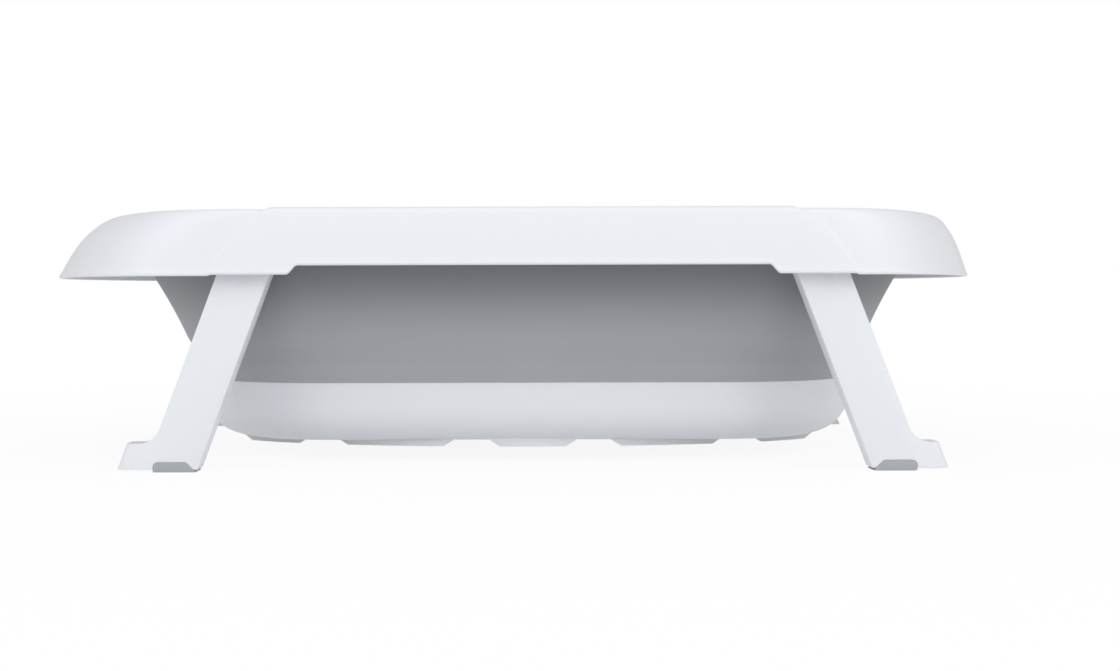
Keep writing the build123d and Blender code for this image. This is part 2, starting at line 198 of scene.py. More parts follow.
class StudioSettings(bpy.types.PropertyGroup):
    distance: length("Camera distance", "From the camera to the bath", 1.509, 0.2, 10.0)
    height: length("Camera height", "Of the camera above the floor", 0.1356, 0.0, 5.0)
    roll: FloatProperty(
        name="Roll", description="Tilt of the camera about its line of sight",
        default=math.radians(0.15), subtype="ANGLE",
    )
    lens: FloatProperty(name="Lens", description="Focal length, in millimetres", default=53.45)
    shift_x: FloatProperty(name="Shift X", description="Sideways framing", default=0.0418)
    shift_y: FloatProperty(name="Shift Y", description="Upward framing", default=-0.0357)
    world: FloatProperty(name="World", description="Strength of the even light", default=0.50)
    top: FloatProperty(name="Top light", description="Power of the light above", default=12.0)
    front: FloatProperty(name="Front light", description="Power of the front light", default=6.5)
    foot: FloatProperty(name="Foot light", description="Power of the foot-end light", default=14.5)
    head: FloatProperty(name="Head light", description="Power of the head-end light", default=12.0)
    shadow_reach: length("Shadow reach", "How far the floor shows shadows", 0.7, 0.01, 10.0)
    shadow_share: FloatProperty(
        name="Shadow share", description="How much of a shadow the floor shows", default=0.10,
        min=0, max=1,
    )


GROUPS = {
    "bath_sizes": BathSizes,
    "bath_wall": WallSizes,
    "bath_repeats": RepeatSizes,
    "bath_colours": BathColours,
    "bath_studio": StudioSettings,
}


# ---------------------------------------------------------------- finish settings
# Heights over which the painted shade under the rim fades in, and the facing band that keeps it to
# the wall's outside.
PAINTED_SHADE_LOW = 100 * MM
PAINTED_SHADE_HIGH = 175 * MM
FACING_BAND = 0.1
CLOUD_SCALE = 14.0
CLOUD_DETAIL = 3.0
CLOUD_GLOSS = 0.10
GRAIN_GLOSS = 0.08
GRAIN_DEPTH = 0.1 * MM
GRAIN_DETAIL = 2.0
BRUSHING = 9.0

# Roughness, grain, bump and clouding of each finish.
FEELS = {
    "white_plastic": (0.42, 900.0, 0.12, 0.012),
    "grey_soft_wall": (0.62, 1400.0, 0.30, 0.035),
    "soft_white_pads": (0.60, 1200.0, 0.25, 0.02),
    "grey_rubber": (0.66, 1500.0, 0.40, 0.04),
    "grey_plug": (0.50, 1000.0, 0.20, 0.03),
    "steel": (0.30, 500.0, 0.15, 0.04),
}


# ---------------------------------------------------------------- node graphs
class Value:
    """One output of a node. Plain arithmetic on it adds the Math nodes."""

    def __init__(self, graph, socket):
        self.graph = graph
        self.socket = socket

    def math(self, operation, *operands):
        return self.graph.add("ShaderNodeMath", {"operation": operation}, operands)

    def __add__(self, other):
        return self.math("ADD", self, other)

    __radd__ = __add__

    def __sub__(self, other):
        return self.math("SUBTRACT", self, other)

    def __rsub__(self, other):
        return self.math("SUBTRACT", other, self)

    def __mul__(self, other):
        return self.math("MULTIPLY", self, other)

    __rmul__ = __mul__

    def __truediv__(self, other):
        return self.math("DIVIDE", self, other)

    def __rtruediv__(self, other):
        return self.math("DIVIDE", other, self)

    def bell(self):
        """A smooth hump that is 1 where the value is 0."""
        return self.math("EXPONENT", 0 - self * self)


class Graph:
    """A node tree that is filled by one method."""

    def __init__(self, tree):
        self.tree = tree
        tree.nodes.clear()

    def add(self, kind, settings=None, inputs=(), output=0):
        """Add a node: its settings first, then the values or links of its sockets."""
        node = self.tree.nodes.new(kind)
        for name, setting in (settings or {}).items():
            setattr(node, name, setting)
        pairs = inputs.items() if isinstance(inputs, dict) else enumerate(inputs)
        for key, value in pairs:
            if isinstance(value, Value):
                self.tree.links.new(value.socket, node.inputs[key])
            else:
                node.inputs[key].default_value = value
        return Value(self, node.outputs[output]) if node.outputs else node

    def mix(self, factor, first, second):
        """Mix two colours."""
        sockets = {0: factor, 6: first, 7: second}
        return self.add("ShaderNodeMix", {"data_type": "RGBA"}, sockets, 2)

    def noise(self, place, scale, detail):
        """Even noise from 0 to 1."""
        sockets = {"Vector": place, "Scale": scale, "Detail": detail}
        return self.add("ShaderNodeTexNoise", None, sockets, "Fac")


def opaque(rgb, factor=1.0):
    """A colour with full alpha, made lighter or darker."""
    return tuple(min(1.0, part * factor) for part in rgb) + (1.0,)


def ramp(graph, value, start, finish):
    """A smooth step from 0 to 1 between two values."""
    settings = {"interpolation_type": "SMOOTHSTEP"}
    sockets = {"Value": value, "From Min": start, "From Max": finish}
    return graph.add("ShaderNodeMapRange", settings, sockets, "Result")


def surface(name, rgb, roughness, grain, bump, cloud, metallic=0.0, brushed=0.0, shade=None):
    """A moulded or metal finish: faint clouding, a fine grain and uneven gloss.

    A shade colour is painted shade: it darkens the outside of a wall that leans outward, towards
    its top, where the rim above shades it.
    """
    title = f"{name} finish"
    if title in bpy.data.materials:
        return bpy.data.materials[title]
    material = bpy.data.materials.new(title)
    material.use_nodes = True
    graph = Graph(material.node_tree)
    place = graph.add("ShaderNodeTexCoord", output="Object")
    clouds = graph.noise(place, CLOUD_SCALE, CLOUD_DETAIL)
    lay = place
    if brushed:
        sockets = {"Vector": place, "Scale": (1, brushed, 1)}
        lay = graph.add("ShaderNodeMapping", None, sockets)
    fine = graph.noise(lay, grain, GRAIN_DETAIL)
    tone = graph.mix(clouds, opaque(rgb, 1 - cloud), opaque(rgb, 1 + cloud))
    # Painted shade: the wall's outside turns darker towards the rim, standing in for the rim's
    # shade.
    if shade is not None:
        height = graph.add("ShaderNodeSeparateXYZ", None, {"Vector": place}, "Z")
        normal = graph.add("ShaderNodeTexCoord", output="Normal")
        upward = graph.add("ShaderNodeSeparateXYZ", None, {"Vector": normal}, "Z")
        high = ramp(graph, height, PAINTED_SHADE_LOW, PAINTED_SHADE_HIGH)
        outside = 1 - ramp(graph, upward, -FACING_BAND, FACING_BAND)
        tone = graph.mix(high * outside, tone, opaque(shade))
    gloss = roughness + (clouds - 0.5) * CLOUD_GLOSS + (fine - 0.5) * GRAIN_GLOSS
    relief = graph.add(
        "ShaderNodeBump", None, {"Strength": bump, "Distance": GRAIN_DEPTH, "Height": fine}
    )
    shader = graph.add(
        "ShaderNodeBsdfPrincipled",
        None,
        {"Base Color": tone, "Roughness": gloss, "Normal": relief, "Metallic": metallic},
    )
    graph.add("ShaderNodeOutputMaterial", None, {"Surface": shader})
    return material


def finishes():
    """The record's material slots and the finish that each has here."""
    tones = bpy.context.scene.bath_colours
    colours = {
        "white_plastic": tones.white,
        "grey_soft_wall": tones.soft_wall,
        "soft_white_pads": tones.pads,
        "grey_rubber": tones.rubber,
        "grey_plug": tones.plug,
        "steel": tones.steel,
    }
    extras = {
        # The soft wall carries painted shade under the rim.
        "grey_soft_wall": {"shade": tones.painted_wall_shade},
        "steel": {"metallic": 1.0, "brushed": BRUSHING},
    }
    return {
        slot: surface(slot, rgb, *FEELS[slot], **extras.get(slot, {}))
        for slot, rgb in colours.items()
    }


def slot_of(node):
    """The record's material slot of a solid."""
    return next(s["material_slot"] for s in frame["record"]["subparts"] if s["node"] == node)


def dress(node):
    """Give a solid that stays visible its finish."""
    solid = frame["nodes"][node]
    solid.data.materials.clear()
    solid.data.materials.append(finishes()[slot_of(node)])


# ---------------------------------------------------------------- meshes
def piece(name, mesh, body, slot, replaced=(), smooth=SMOOTH_DEGREES):
    """Turn a mesh into a piece of the bath that rides on a body."""
    mesh.name = name
    mesh.materials.clear()
    mesh.materials.append(finishes()[slot])
    mesh.shade_smooth()
    mesh.set_sharp_from_angle(angle=math.radians(smooth))
    made = bpy.data.objects.new(name, mesh)
    bpy.context.scene.collection.objects.link(made)
    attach(made, body)
    if replaced:
        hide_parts(*replaced)
    return made


def settled(holder):
    """The plain mesh of an object once its modifiers have run. The object is removed."""
    bpy.context.view_layer.update()
    evaluated = holder.evaluated_get(bpy.context.evaluated_depsgraph_get())
    mesh = bpy.data.meshes.new_from_object(evaluated)
    holder.modifiers.clear()
    bpy.data.objects.remove(holder)
    return mesh


def holder_of(mesh):
    """A passing object that carries a mesh and its modifiers."""
    holder = bpy.data.objects.new("holder", mesh)
    bpy.context.scene.collection.objects.link(holder)
    return holder


def rounded_copy(node, width):
    """A copy of a solid with rounded edges, which stands for it."""
    work = bmesh.new()
    work.from_mesh(frame["nodes"][node].data)
    bmesh.ops.remove_doubles(work, verts=work.verts, dist=WELD)
    bmesh.ops.dissolve_limit(
        work, angle_limit=FLAT_ANGLE, verts=work.verts, edges=work.edges
    )
    mesh = bpy.data.meshes.new(node)
    work.to_mesh(mesh)
    work.free()
    holder = holder_of(mesh)
    bevel = holder.modifiers.new("edges", "BEVEL")
    bevel.width = width
    bevel.segments = EDGE_SEGMENTS
    bevel.limit_method = "ANGLE"
    bevel.angle_limit = EDGE_ANGLE
    body = frame["nodes"][node]["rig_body"]
    return piece(f"{node}_shell", settled(holder), body, slot_of(node), [node])


def lofted(rings):
    """A closed ring-shaped mesh through rings of points; the last ring joins the first."""
    work = bmesh.new()
    rows = [[work.verts.new(point) for point in ring] for ring in rings]
    for row, following in zip(rows, rows[1:] + rows[:1]):
        for k in range(len(row)):
            j = (k + 1) % len(row)
            work.faces.new((row[k], row[j], following[j], following[k]))
    bmesh.ops.recalc_face_normals(work, faces=work.faces)
    mesh = bpy.data.meshes.new("loft")
    work.to_mesh(mesh)
    work.free()
    return mesh


def plate(outline, half):
    """A flat plate with an outline in x and z, which reaches as far to both sides in y."""
    work = bmesh.new()
    near, far = [[work.verts.new((x, y, z)) for x, z in outline] for y in (-half, half)]
    work.faces.new(near)
    work.faces.new(list(reversed(far)))
    for k in range(len(outline)):
        j = (k + 1) % len(outline)
        work.faces.new((near[k], far[k], far[j], near[j]))
    bmesh.ops.recalc_face_normals(work, faces=work.faces)
    mesh = bpy.data.meshes.new("plate")
    work.to_mesh(mesh)
    work.free()
    return mesh


# ---------------------------------------------------------------- plan outlines
MIDDLE_X = (HINGE_PINS["head"][0].x + HINGE_PINS["head"][1].x
            + HINGE_PINS["foot"][0].x + HINGE_PINS["foot"][1].x) / 4
LEAN_EVEN = 0.62
LEAN_POWER = 4


def lean_share(share):
    """How much of the lean is used at a share of the rim's height."""
    return LEAN_EVEN * share + (1 - LEAN_EVEN) * share**LEAN_POWER


class Plan:
    """A plan outline with straight sides and bulged ends, walked from a side's middle."""

    def __init__(self, head, foot, half, corner, radius):
        self.tips = {-1: head, 1: foot}
        self.half = half
        self.corner = corner
        self.radius = radius
        self.turn = math.asin((half - corner) / (radius - corner))
        self.reach = radius - (radius - corner) * math.cos(self.turn)

    def straight(self, end):
        return end * (self.tips[end] - MIDDLE_X) - self.reach

    def walk(self, end):
        """The whole way from the middle of a side to the tip of an end."""
        bend = self.corner * (math.pi / 2 - self.turn) + self.radius * self.turn
        return self.straight(end) + bend

    def at(self, end, side, distance, outward=0.0):
        """The point at a distance along the way, and a step outward from the outline."""
        straight = self.straight(end)
        bend = self.corner * (math.pi / 2 - self.turn)
        if distance <= straight:
            return MIDDLE_X + end * distance, side * (self.half + outward)
        if distance <= straight + bend:
            angle = math.pi / 2 - (distance - straight) / self.corner
            x = self.tips[end] - end * self.reach
            y, radius = self.half - self.corner, self.corner
        else:
            angle = self.turn - (distance - straight - bend) / self.radius
            x, y, radius = self.tips[end] - end * self.radius, 0.0, self.radius
        radius += outward
        return x + end * radius * math.cos(angle), side * (y + radius * math.sin(angle))


def bulge_radius(half, corner, bow):
    """Radius of a bulged end whose tip stands a bow further out than its corners are round."""
    return corner + bow / 2 + (half - corner) ** 2 / (2 * bow)


def rim_plan(share):
    """The rim's outline at a share of its height."""
    sizes = bpy.context.scene.bath_sizes
    lean = lean_share(share)
    radius = bulge_radius(RIM_HIGH.y, sizes.rim_corner, sizes.rim_bow)
    return Plan(
        RIM_LOW.x + sizes.head_lean * lean,
        RIM_HIGH.x - sizes.foot_lean * lean,
        RIM_HIGH.y - sizes.side_lean * lean,
        sizes.rim_corner - sizes.side_lean * lean,
        radius,
    )


def mouth_plan():
    """The outline of the mouth, inside the collar."""
    sizes = bpy.context.scene.bath_sizes
    overlap = (bpy.context.scene.bath_wall.thickness + sizes.rim_wall) / 2
    half = WALL_HIGH.y - overlap
    radius = bulge_radius(half, sizes.mouth_corner, sizes.mouth_bow)
    return Plan(WALL_LOW.x + overlap, WALL_HIGH.x - overlap, half, sizes.mouth_corner, radius)


def tray_plan():
    """The outline of the base tray."""
    sizes = bpy.context.scene.bath_sizes
    radius = bulge_radius(TRAY_HIGH.y, sizes.tray_corner, sizes.tray_bow)
    return Plan(TRAY_LOW.x, TRAY_HIGH.x, TRAY_HIGH.y, sizes.tray_corner, radius)


def around(stations):
    """Every column round the bath, once: the end, the side and the station of each."""
    front, back = FACES["front"], FACES["back"]
    head, foot = ENDS["head"], ENDS["foot"]
    columns = [(foot, front, k) for k in range(stations)]
    columns += [(foot, back, k) for k in reversed(range(stations - 1))]
    columns += [(head, back, k) for k in range(1, stations)]
    columns += [(head, front, k) for k in reversed(range(1, stations - 1))]
    return columns


def bezier(first, control, last, t):
    """A point on a quadratic curve."""
    return first * (1 - t) ** 2 + control * 2 * t * (1 - t) + last * t**2


# ---------------------------------------------------------------- the rim
COLLAR_BOTTOM = WALL_HIGH.z
RIM_LIP = RIM_LOW.z
CREASE_LOW = 248 * MM
CREASE_TOP = {ENDS["head"]: 203 * MM, ENDS["foot"]: 201 * MM}
NOTCH_COLUMNS = 22
TIP_COLUMNS = 74
NOTCH_STEPS = (-0.4, -0.2, 0.0, 0.2, 0.4, 0.6, 0.8, 1.0, 1.2, 1.4)
CREASE_STEPS = ((-1.0, 1.0), (-0.5, 0.85), (0.0, 0.5), (0.5, 0.15), (1.0, 0.0))
BETWEEN_STEPS = (0.3, 0.6)
NOTCH_BLUR = 0.2
PLAN_DIGITS = 4
SKIRT_ROWS = 26
SKIRT_SPREAD = 1.15
BEAD_HEIGHT = 2.2 * MM
ROLL_STEPS = 6
LAND_STEPS = 4
MOUTH_STEPS = 5
INNER_STEPS = 10
RIB_ROWS = 12
RIB_LEVEL = 0.5
RECESS_SHARE = 1.1
HOLE_SHARE = 0.35
WALL_STATIONS = 88
WALL_ROWS = 40


class RimColumns:
    """Where each column of the rim stands, along its outline."""

    def __init__(self):
        sizes = bpy.context.scene.bath_sizes
        self.sizes = sizes
        hinge = (HINGE_PINS["foot"][0].x + HINGE_PINS["foot"][1].x) / 2
        self.notch = hinge - sizes.notch_setback - MIDDLE_X
        slope = sizes.notch_slope
        first = self.notch + NOTCH_STEPS[0] * slope
        self.fixed = [first * k / NOTCH_COLUMNS for k in range(NOTCH_COLUMNS)]
        self.fixed += [self.notch + step * slope for step in NOTCH_STEPS]
        self.count = len(self.fixed) + len(BETWEEN_STEPS) + len(CREASE_STEPS) + TIP_COLUMNS

    def distance(self, end, station, share, whole):
        """The distance of a station from the side's middle, at a share of the height."""
        width = self.sizes.crease_width
        crease = CREASE_LOW + (CREASE_TOP[end] - CREASE_LOW) * lean_share(share)
        if station < len(self.fixed):
            return self.fixed[station]
        station -= len(self.fixed)
        if station < len(BETWEEN_STEPS):
            start = self.fixed[-1]
            return start + (crease - width - start) * BETWEEN_STEPS[station]
        station -= len(BETWEEN_STEPS)
        if station < len(CREASE_STEPS):
            return crease + CREASE_STEPS[station][0] * width
        station -= len(CREASE_STEPS) - 1
        start = crease + width
        return start + (whole - start) * station / TIP_COLUMNS

    def middle(self, station):
        """1 in the raised middle, 0 in the ends."""
        station -= len(self.fixed) + len(BETWEEN_STEPS)
        if station < 0:
            return 1.0
        return CREASE_STEPS[station][1] if station < len(CREASE_STEPS) else 0.0

    def notched(self, station):
        """1 in the finger notch, 0 outside it."""
        if station >= len(self.fixed):
            return 0.0
        along = (self.fixed[station] - self.notch) / self.sizes.notch_slope
        steps = (along - NOTCH_BLUR, along, along + NOTCH_BLUR)
        return 1.0 - sum(min(1.0, max(0.0, step)) for step in steps) / len(steps)


def rim_section(columns, column, plans, mouth):
    """The closed section of the rim at one column, from the lip's inner side outward."""
    sizes = columns.sizes
    end, side, station = column
    middle = columns.middle(station)
    top = RIM_HIGH.z - sizes.raised * (1 - middle)
    low = RIM_LIP + sizes.notch_height * columns.notched(station) - sizes.end_drop * (1 - middle)
    wall = sizes.rim_wall
    underside = RIM_HIGH.z - sizes.raised - wall
    proud = sizes.proud * middle

    def rim_point(height, outward, rise=0.0):
        share = min(1.0, max(0.0, (height + rise - RIM_LIP) / (top - RIM_LIP)))
        key = round(share, PLAN_DIGITS)
        if key not in plans:
            plans[key] = rim_plan(key)
        plan = plans[key]
        distance = columns.distance(end, station, key, plan.walk(end))
        return Vector((*plan.at(end, side, distance, outward), height))

    def mouth_point(height, outward):
        whole = plans.setdefault(1.0, rim_plan(1.0)).walk(end)
        distance = columns.distance(end, station, 1.0, whole)
        start = columns.notch
        if distance > start:
            share = (distance - start) / (whole - start)
            distance = start + share * (mouth.walk(end) - start)
        return Vector((*mouth.at(end, side, distance, outward), height))

    half = wall / 2
    points = []
    for k in range(ROLL_STEPS + 1):
        angle = math.pi * k / ROLL_STEPS
        swell = (sizes.bead + proud) * (1 - math.cos(angle)) / 2
        outward = -half - half * math.cos(angle) + swell
        points.append(rim_point(low + half - half * math.sin(angle), outward))
    start, finish = low + half, top - sizes.crest
    for k in range(1, SKIRT_ROWS + 1):
        height = start + (finish - start) * (k / SKIRT_ROWS) ** SKIRT_SPREAD
        swell = sizes.bead * math.exp(-(((height - start) / BEAD_HEIGHT) ** 2))
        points.append(rim_point(height, swell + proud))
    shoulder, control = points[-1], rim_point(top, proud)
    land = rim_point(top, -sizes.crest)
    points += [
        bezier(shoulder, control, land, k / ROLL_STEPS) for k in range(1, ROLL_STEPS + 1)
    ]
    lips = (
        mouth_point(top, sizes.mouth_round),
        mouth_point(top, 0.0),
        mouth_point(top - sizes.mouth_round, 0.0),
    )
    points += [land.lerp(lips[0], k / LAND_STEPS) for k in range(1, LAND_STEPS)]
    points += [bezier(*lips, k / MOUTH_STEPS) for k in range(MOUTH_STEPS + 1)]
    for k in range(ROLL_STEPS + 1):
        angle = math.pi * k / ROLL_STEPS
        outward = half - half * math.cos(angle)
        points.append(mouth_point(COLLAR_BOTTOM + half - half * math.sin(angle), outward))
    inner, outer = mouth_point(underside, wall), rim_point(underside, -wall, wall)
    points += [inner.lerp(outer, k / MOUTH_STEPS) for k in range(MOUTH_STEPS + 1)]
    for k in range(1, INNER_STEPS):
        share = k / INNER_STEPS
        height = underside + (low + half - underside) * share
        points.append(rim_point(height, -wall, wall * (1 - share)))
    return points


class BATH_OT_rim(bpy.types.Operator):
    """Build the rim: leaning skirt, raised middle, notched lip, land and collar"""

    bl_idname = "bath.rim"
    bl_label = "Rim"

    def execute(self, context):
        columns = RimColumns()
        plans, mouth = {}, mouth_plan()
        sections = [
            rim_section(columns, column, plans, mouth) for column in around(columns.count)
        ]
        rings = [list(ring) for ring in zip(*sections)]
        piece("rim_shell", lofted(rings), "rim_body", "white_plastic", ["rim"],
              RIM_SMOOTH_DEGREES)
        return {"FINISHED"}


# ---------------------------------------------------------------- repeated pieces
def node_tree(name, sockets):
    """A geometry tree with named inputs. Returns its graph and its inputs."""
    tree = bpy.data.node_groups.new(name, "GeometryNodeTree")
    tree.interface.new_socket("Geometry", in_out="INPUT", socket_type="NodeSocketGeometry")
    for socket_name, (kind, _) in sockets.items():
        tree.interface.new_socket(
            socket_name, in_out="INPUT", socket_type=f"NodeSocket{kind}"
        )
    tree.interface.new_socket("Geometry", in_out="OUTPUT", socket_type="NodeSocketGeometry")
    graph = Graph(tree)
    entry = tree.nodes.new("NodeGroupInput")
    return graph, {s.name: Value(graph, s) for s in entry.outputs if s.name}


def run_tree(graph, mesh, sockets, geometry):
    """Finish a tree, run it on a mesh and return the plain result."""
    solid = graph.add("GeometryNodeRealizeInstances", None, {"Geometry": geometry})
    painted = graph.add(
        "GeometryNodeSetMaterial", None, {"Geometry": solid, "Material": sockets["Material"][1]}
    )
    graph.add("NodeGroupOutput", None, {"Geometry": painted})
    holder = holder_of(mesh)
    modifier = holder.modifiers.new("build", "NODES")
    modifier.node_group = graph.tree
    for item in graph.tree.interface.items_tree:
        if item.in_out == "INPUT" and item.name in sockets and item.name != "Material":
            modifier[item.identifier] = sockets[item.name][1]
    return settled(holder)


def points_mesh(points):
    """A mesh of loose points."""
    mesh = bpy.data.meshes.new("points")
    mesh.from_pydata([tuple(point) for point in points], [], [])
    return mesh


class BATH_OT_soft_wall(bpy.types.Operator):
    """Build the soft wall between the collar and the tray, with its lowest fold"""

    bl_idname = "bath.soft_wall"
    bl_label = "Soft wall"

    def execute(self, context):
        sizes = context.scene.bath_wall
        overlap = (sizes.thickness - context.scene.bath_sizes.rim_wall) / 2
        mouth, tray = mouth_plan(), tray_plan()
        stations, rows = WALL_STATIONS, WALL_ROWS
        top, bottom = COLLAR_BOTTOM, WALL_LOW.z
        rim_wall = context.scene.bath_sizes.rim_wall
        skins = ((rim_wall + overlap, overlap), (-overlap, overlap - sizes.thickness))
        profile = [(0, k / rows) for k in range(rows + 1)]
        profile += [(1, 1 - k / rows) for k in range(rows + 1)]
        columns = around(stations)
        rings = []
        for skin, down in profile:
            ring = []
            for end, side, k in columns:
                share = k / (stations - 1)
                above = Vector(mouth.at(end, side, share * mouth.walk(end), skins[skin][0]))
                below = Vector(tray.at(end, side, share * tray.walk(end), skins[skin][1]))
                bent = down + sizes.sag_share * math.sin(math.pi * down)
                ring.append((*above.lerp(below, bent), top + (bottom - top) * down))
            rings.append(ring)
        mesh = lofted(rings)
        mesh.attributes.new("outward", "FLOAT_VECTOR", "POINT")
        mesh.attributes.new("down", "FLOAT", "POINT")
        outward, down = mesh.attributes["outward"], mesh.attributes["down"]
        place = 0
        for _, share in profile:
            for end, side, k in columns:
                base = k / (stations - 1) * tray.walk(end)
                near = Vector(tray.at(end, side, base, 0.0))
                far = Vector(tray.at(end, side, base, 1.0))
                outward.data[place].vector = (*(far - near), 0.0)
                down.data[place].value = share
                place += 1
        sockets = {
            "Fold place": ("Float", sizes.fold_place),
            "Fold bulge": ("Float", sizes.fold_bulge),
            "Fold width": ("Float", sizes.fold_width),
            "Groove": ("Float", sizes.groove),
            "Groove rise": ("Float", sizes.groove_rise),
            "Groove width": ("Float", sizes.groove_width),
            "Material": ("Material", finishes()["grey_soft_wall"]),
        }
        graph, entry = node_tree("soft wall folds", sockets)
        named = "GeometryNodeInputNamedAttribute"
        along = graph.add(named, {"data_type": "FLOAT"}, {"Name": "down"})
        away = graph.add(named, {"data_type": "FLOAT_VECTOR"}, {"Name": "outward"})
        below = along - entry["Fold place"]
        swell = (below / entry["Fold width"]).bell() * entry["Fold bulge"]
        crease = (below + entry["Groove rise"]) / entry["Groove width"]
        crease = crease.bell() * entry["Groove"]
        step = graph.add(
            "ShaderNodeVectorMath", {"operation": "SCALE"},
            {"Vector": away, "Scale": swell - crease},
        )
        moved = graph.add(
            "GeometryNodeSetPosition", None, {"Geometry": entry["Geometry"], "Offset": step}
        )
        wall = piece(
            "soft_wall", run_tree(graph, mesh, sockets, moved), "rim_body", "grey_soft_wall",
            ["side_wall"], WALL_SMOOTH_DEGREES,
        )
        joint = next(j for j in frame["joints"] if j["name"] == "base_collapse")
        height = COLLAR_BOTTOM - WALL_LOW.z
        keep = (height - joint["range_m"][1]) / height
        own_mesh(wall)
        return {"FINISHED"}


class BATH_OT_ribs(bpy.types.Operator):
    """Build the ribs under both ends of the rim"""

    bl_idname = "bath.ribs"
    bl_label = "End ribs"

    def execute(self, context):
        repeats, sizes = context.scene.bath_repeats, context.scene.bath_sizes
        wall, mouth = sizes.rim_wall, mouth_plan()
        underside = RIM_HIGH.z - sizes.raised - wall
        for end_name, end in ENDS.items():
            low = RIM_LIP + repeats.rib_recess
            rise = (underside + wall / 2 - low) / RIB_ROWS
            heights = [low + k * rise for k in range(RIB_ROWS + 1)]
            inner = mouth.tips[end] + end * (wall + repeats.rib_gap)
            outer = []
            for height in heights:
                share = min(1.0, (height + wall - RIM_LIP) / (underside + wall - RIM_LIP))
                outer.append(rim_plan(share).tips[end] - end * wall / 2)
            outline = [(inner, heights[0]), (inner, heights[-1])]
            outline += list(zip(reversed(outer), reversed(heights)))
            half = repeats.rib_thickness / 2
            rib = holder_of(plate(outline, half))
            plan = rim_plan(RIB_LEVEL)
            sockets = {
                "Rib": ("Object", rib),
                "Count": ("Int", repeats.rib_count),
                "Pitch": ("Float", repeats.rib_pitch),
                "End radius": ("Float", plan.radius),
                "Material": ("Material", finishes()["white_plastic"]),
            }
            graph, entry = node_tree(f"{end_name} ribs", sockets)
            pitch = graph.add("ShaderNodeCombineXYZ", None, {"Y": entry["Pitch"]})
            first = (entry["Count"] - 1) * entry["Pitch"] * -0.5
            start = graph.add("ShaderNodeCombineXYZ", None, {"Y": first})
            line = graph.add(
                "GeometryNodeMeshLine", {"mode": "OFFSET"},
                {"Count": entry["Count"], "Start Location": start, "Offset": pitch},
            )
            position = graph.add("GeometryNodeInputPosition")
            split = graph.add("ShaderNodeSeparateXYZ", None, {"Vector": position}, "Y")
            radius = entry["End radius"]
            square = radius * radius - split * split
            fall = (square.math("SQRT", square) - radius) * end
            offset = graph.add("ShaderNodeCombineXYZ", None, {"X": fall})
            spread = graph.add(
                "GeometryNodeSetPosition", None, {"Geometry": line, "Offset": offset}
            )
            shape = graph.add(
                "GeometryNodeObjectInfo", {"transform_space": "ORIGINAL"},
                {"Object": entry["Rib"]}, "Geometry",
            )
            placed = graph.add(
                "GeometryNodeInstanceOnPoints", None, {"Points": spread, "Instance": shape}
            )
            mesh = run_tree(graph, points_mesh([]), sockets, placed)
            bpy.data.objects.remove(rib)
            piece(f"{end_name}_end_ribs", mesh, "rim_body", "white_plastic")
        return {"FINISHED"}


def screw_points(height):
    """The places of the eight bracket screws, at one height."""
    work = bmesh.new()
    work.from_mesh(frame["nodes"]["bracket_screws"].data)
    bmesh.ops.remove_doubles(work, verts=work.verts, dist=WELD)
    centres, left = [], set(work.verts)
    while left:
        group, front = set(), [left.pop()]
        while front:
            vertex = front.pop()
            group.add(vertex)
            for edge in vertex.link_edges:
                other = edge.other_vert(vertex)
                if other in left:
                    left.discard(other)
                    front.append(other)
        xs, ys = [v.co.x for v in group], [v.co.y for v in group]
        centres.append(((min(xs) + max(xs)) / 2, (min(ys) + max(ys)) / 2, height))
    work.free()
    return sorted(centres)


def cylinder(graph, radius, height, middle):
    """A cylinder node moved to a height."""
    drum = graph.add(
        "GeometryNodeMeshCylinder", None,
        {"Vertices": DRUM_SIDES, "Radius": radius, "Depth": height},
    )
    place = graph.add("ShaderNodeCombineXYZ", None, {"Z": middle})
    return graph.add("GeometryNodeTransform", None, {"Geometry": drum, "Translation": place})


def cut_away(graph, whole, cutters):
    """A difference of meshes."""
    node = graph.tree.nodes.new("GeometryNodeMeshBoolean")
    node.operation = "DIFFERENCE"
    graph.tree.links.new(whole.socket, node.inputs["Mesh 1"])
    for cutter in cutters:
        graph.tree.links.new(cutter.socket, node.inputs["Mesh 2"])
    return Value(graph, node.outputs["Mesh"])


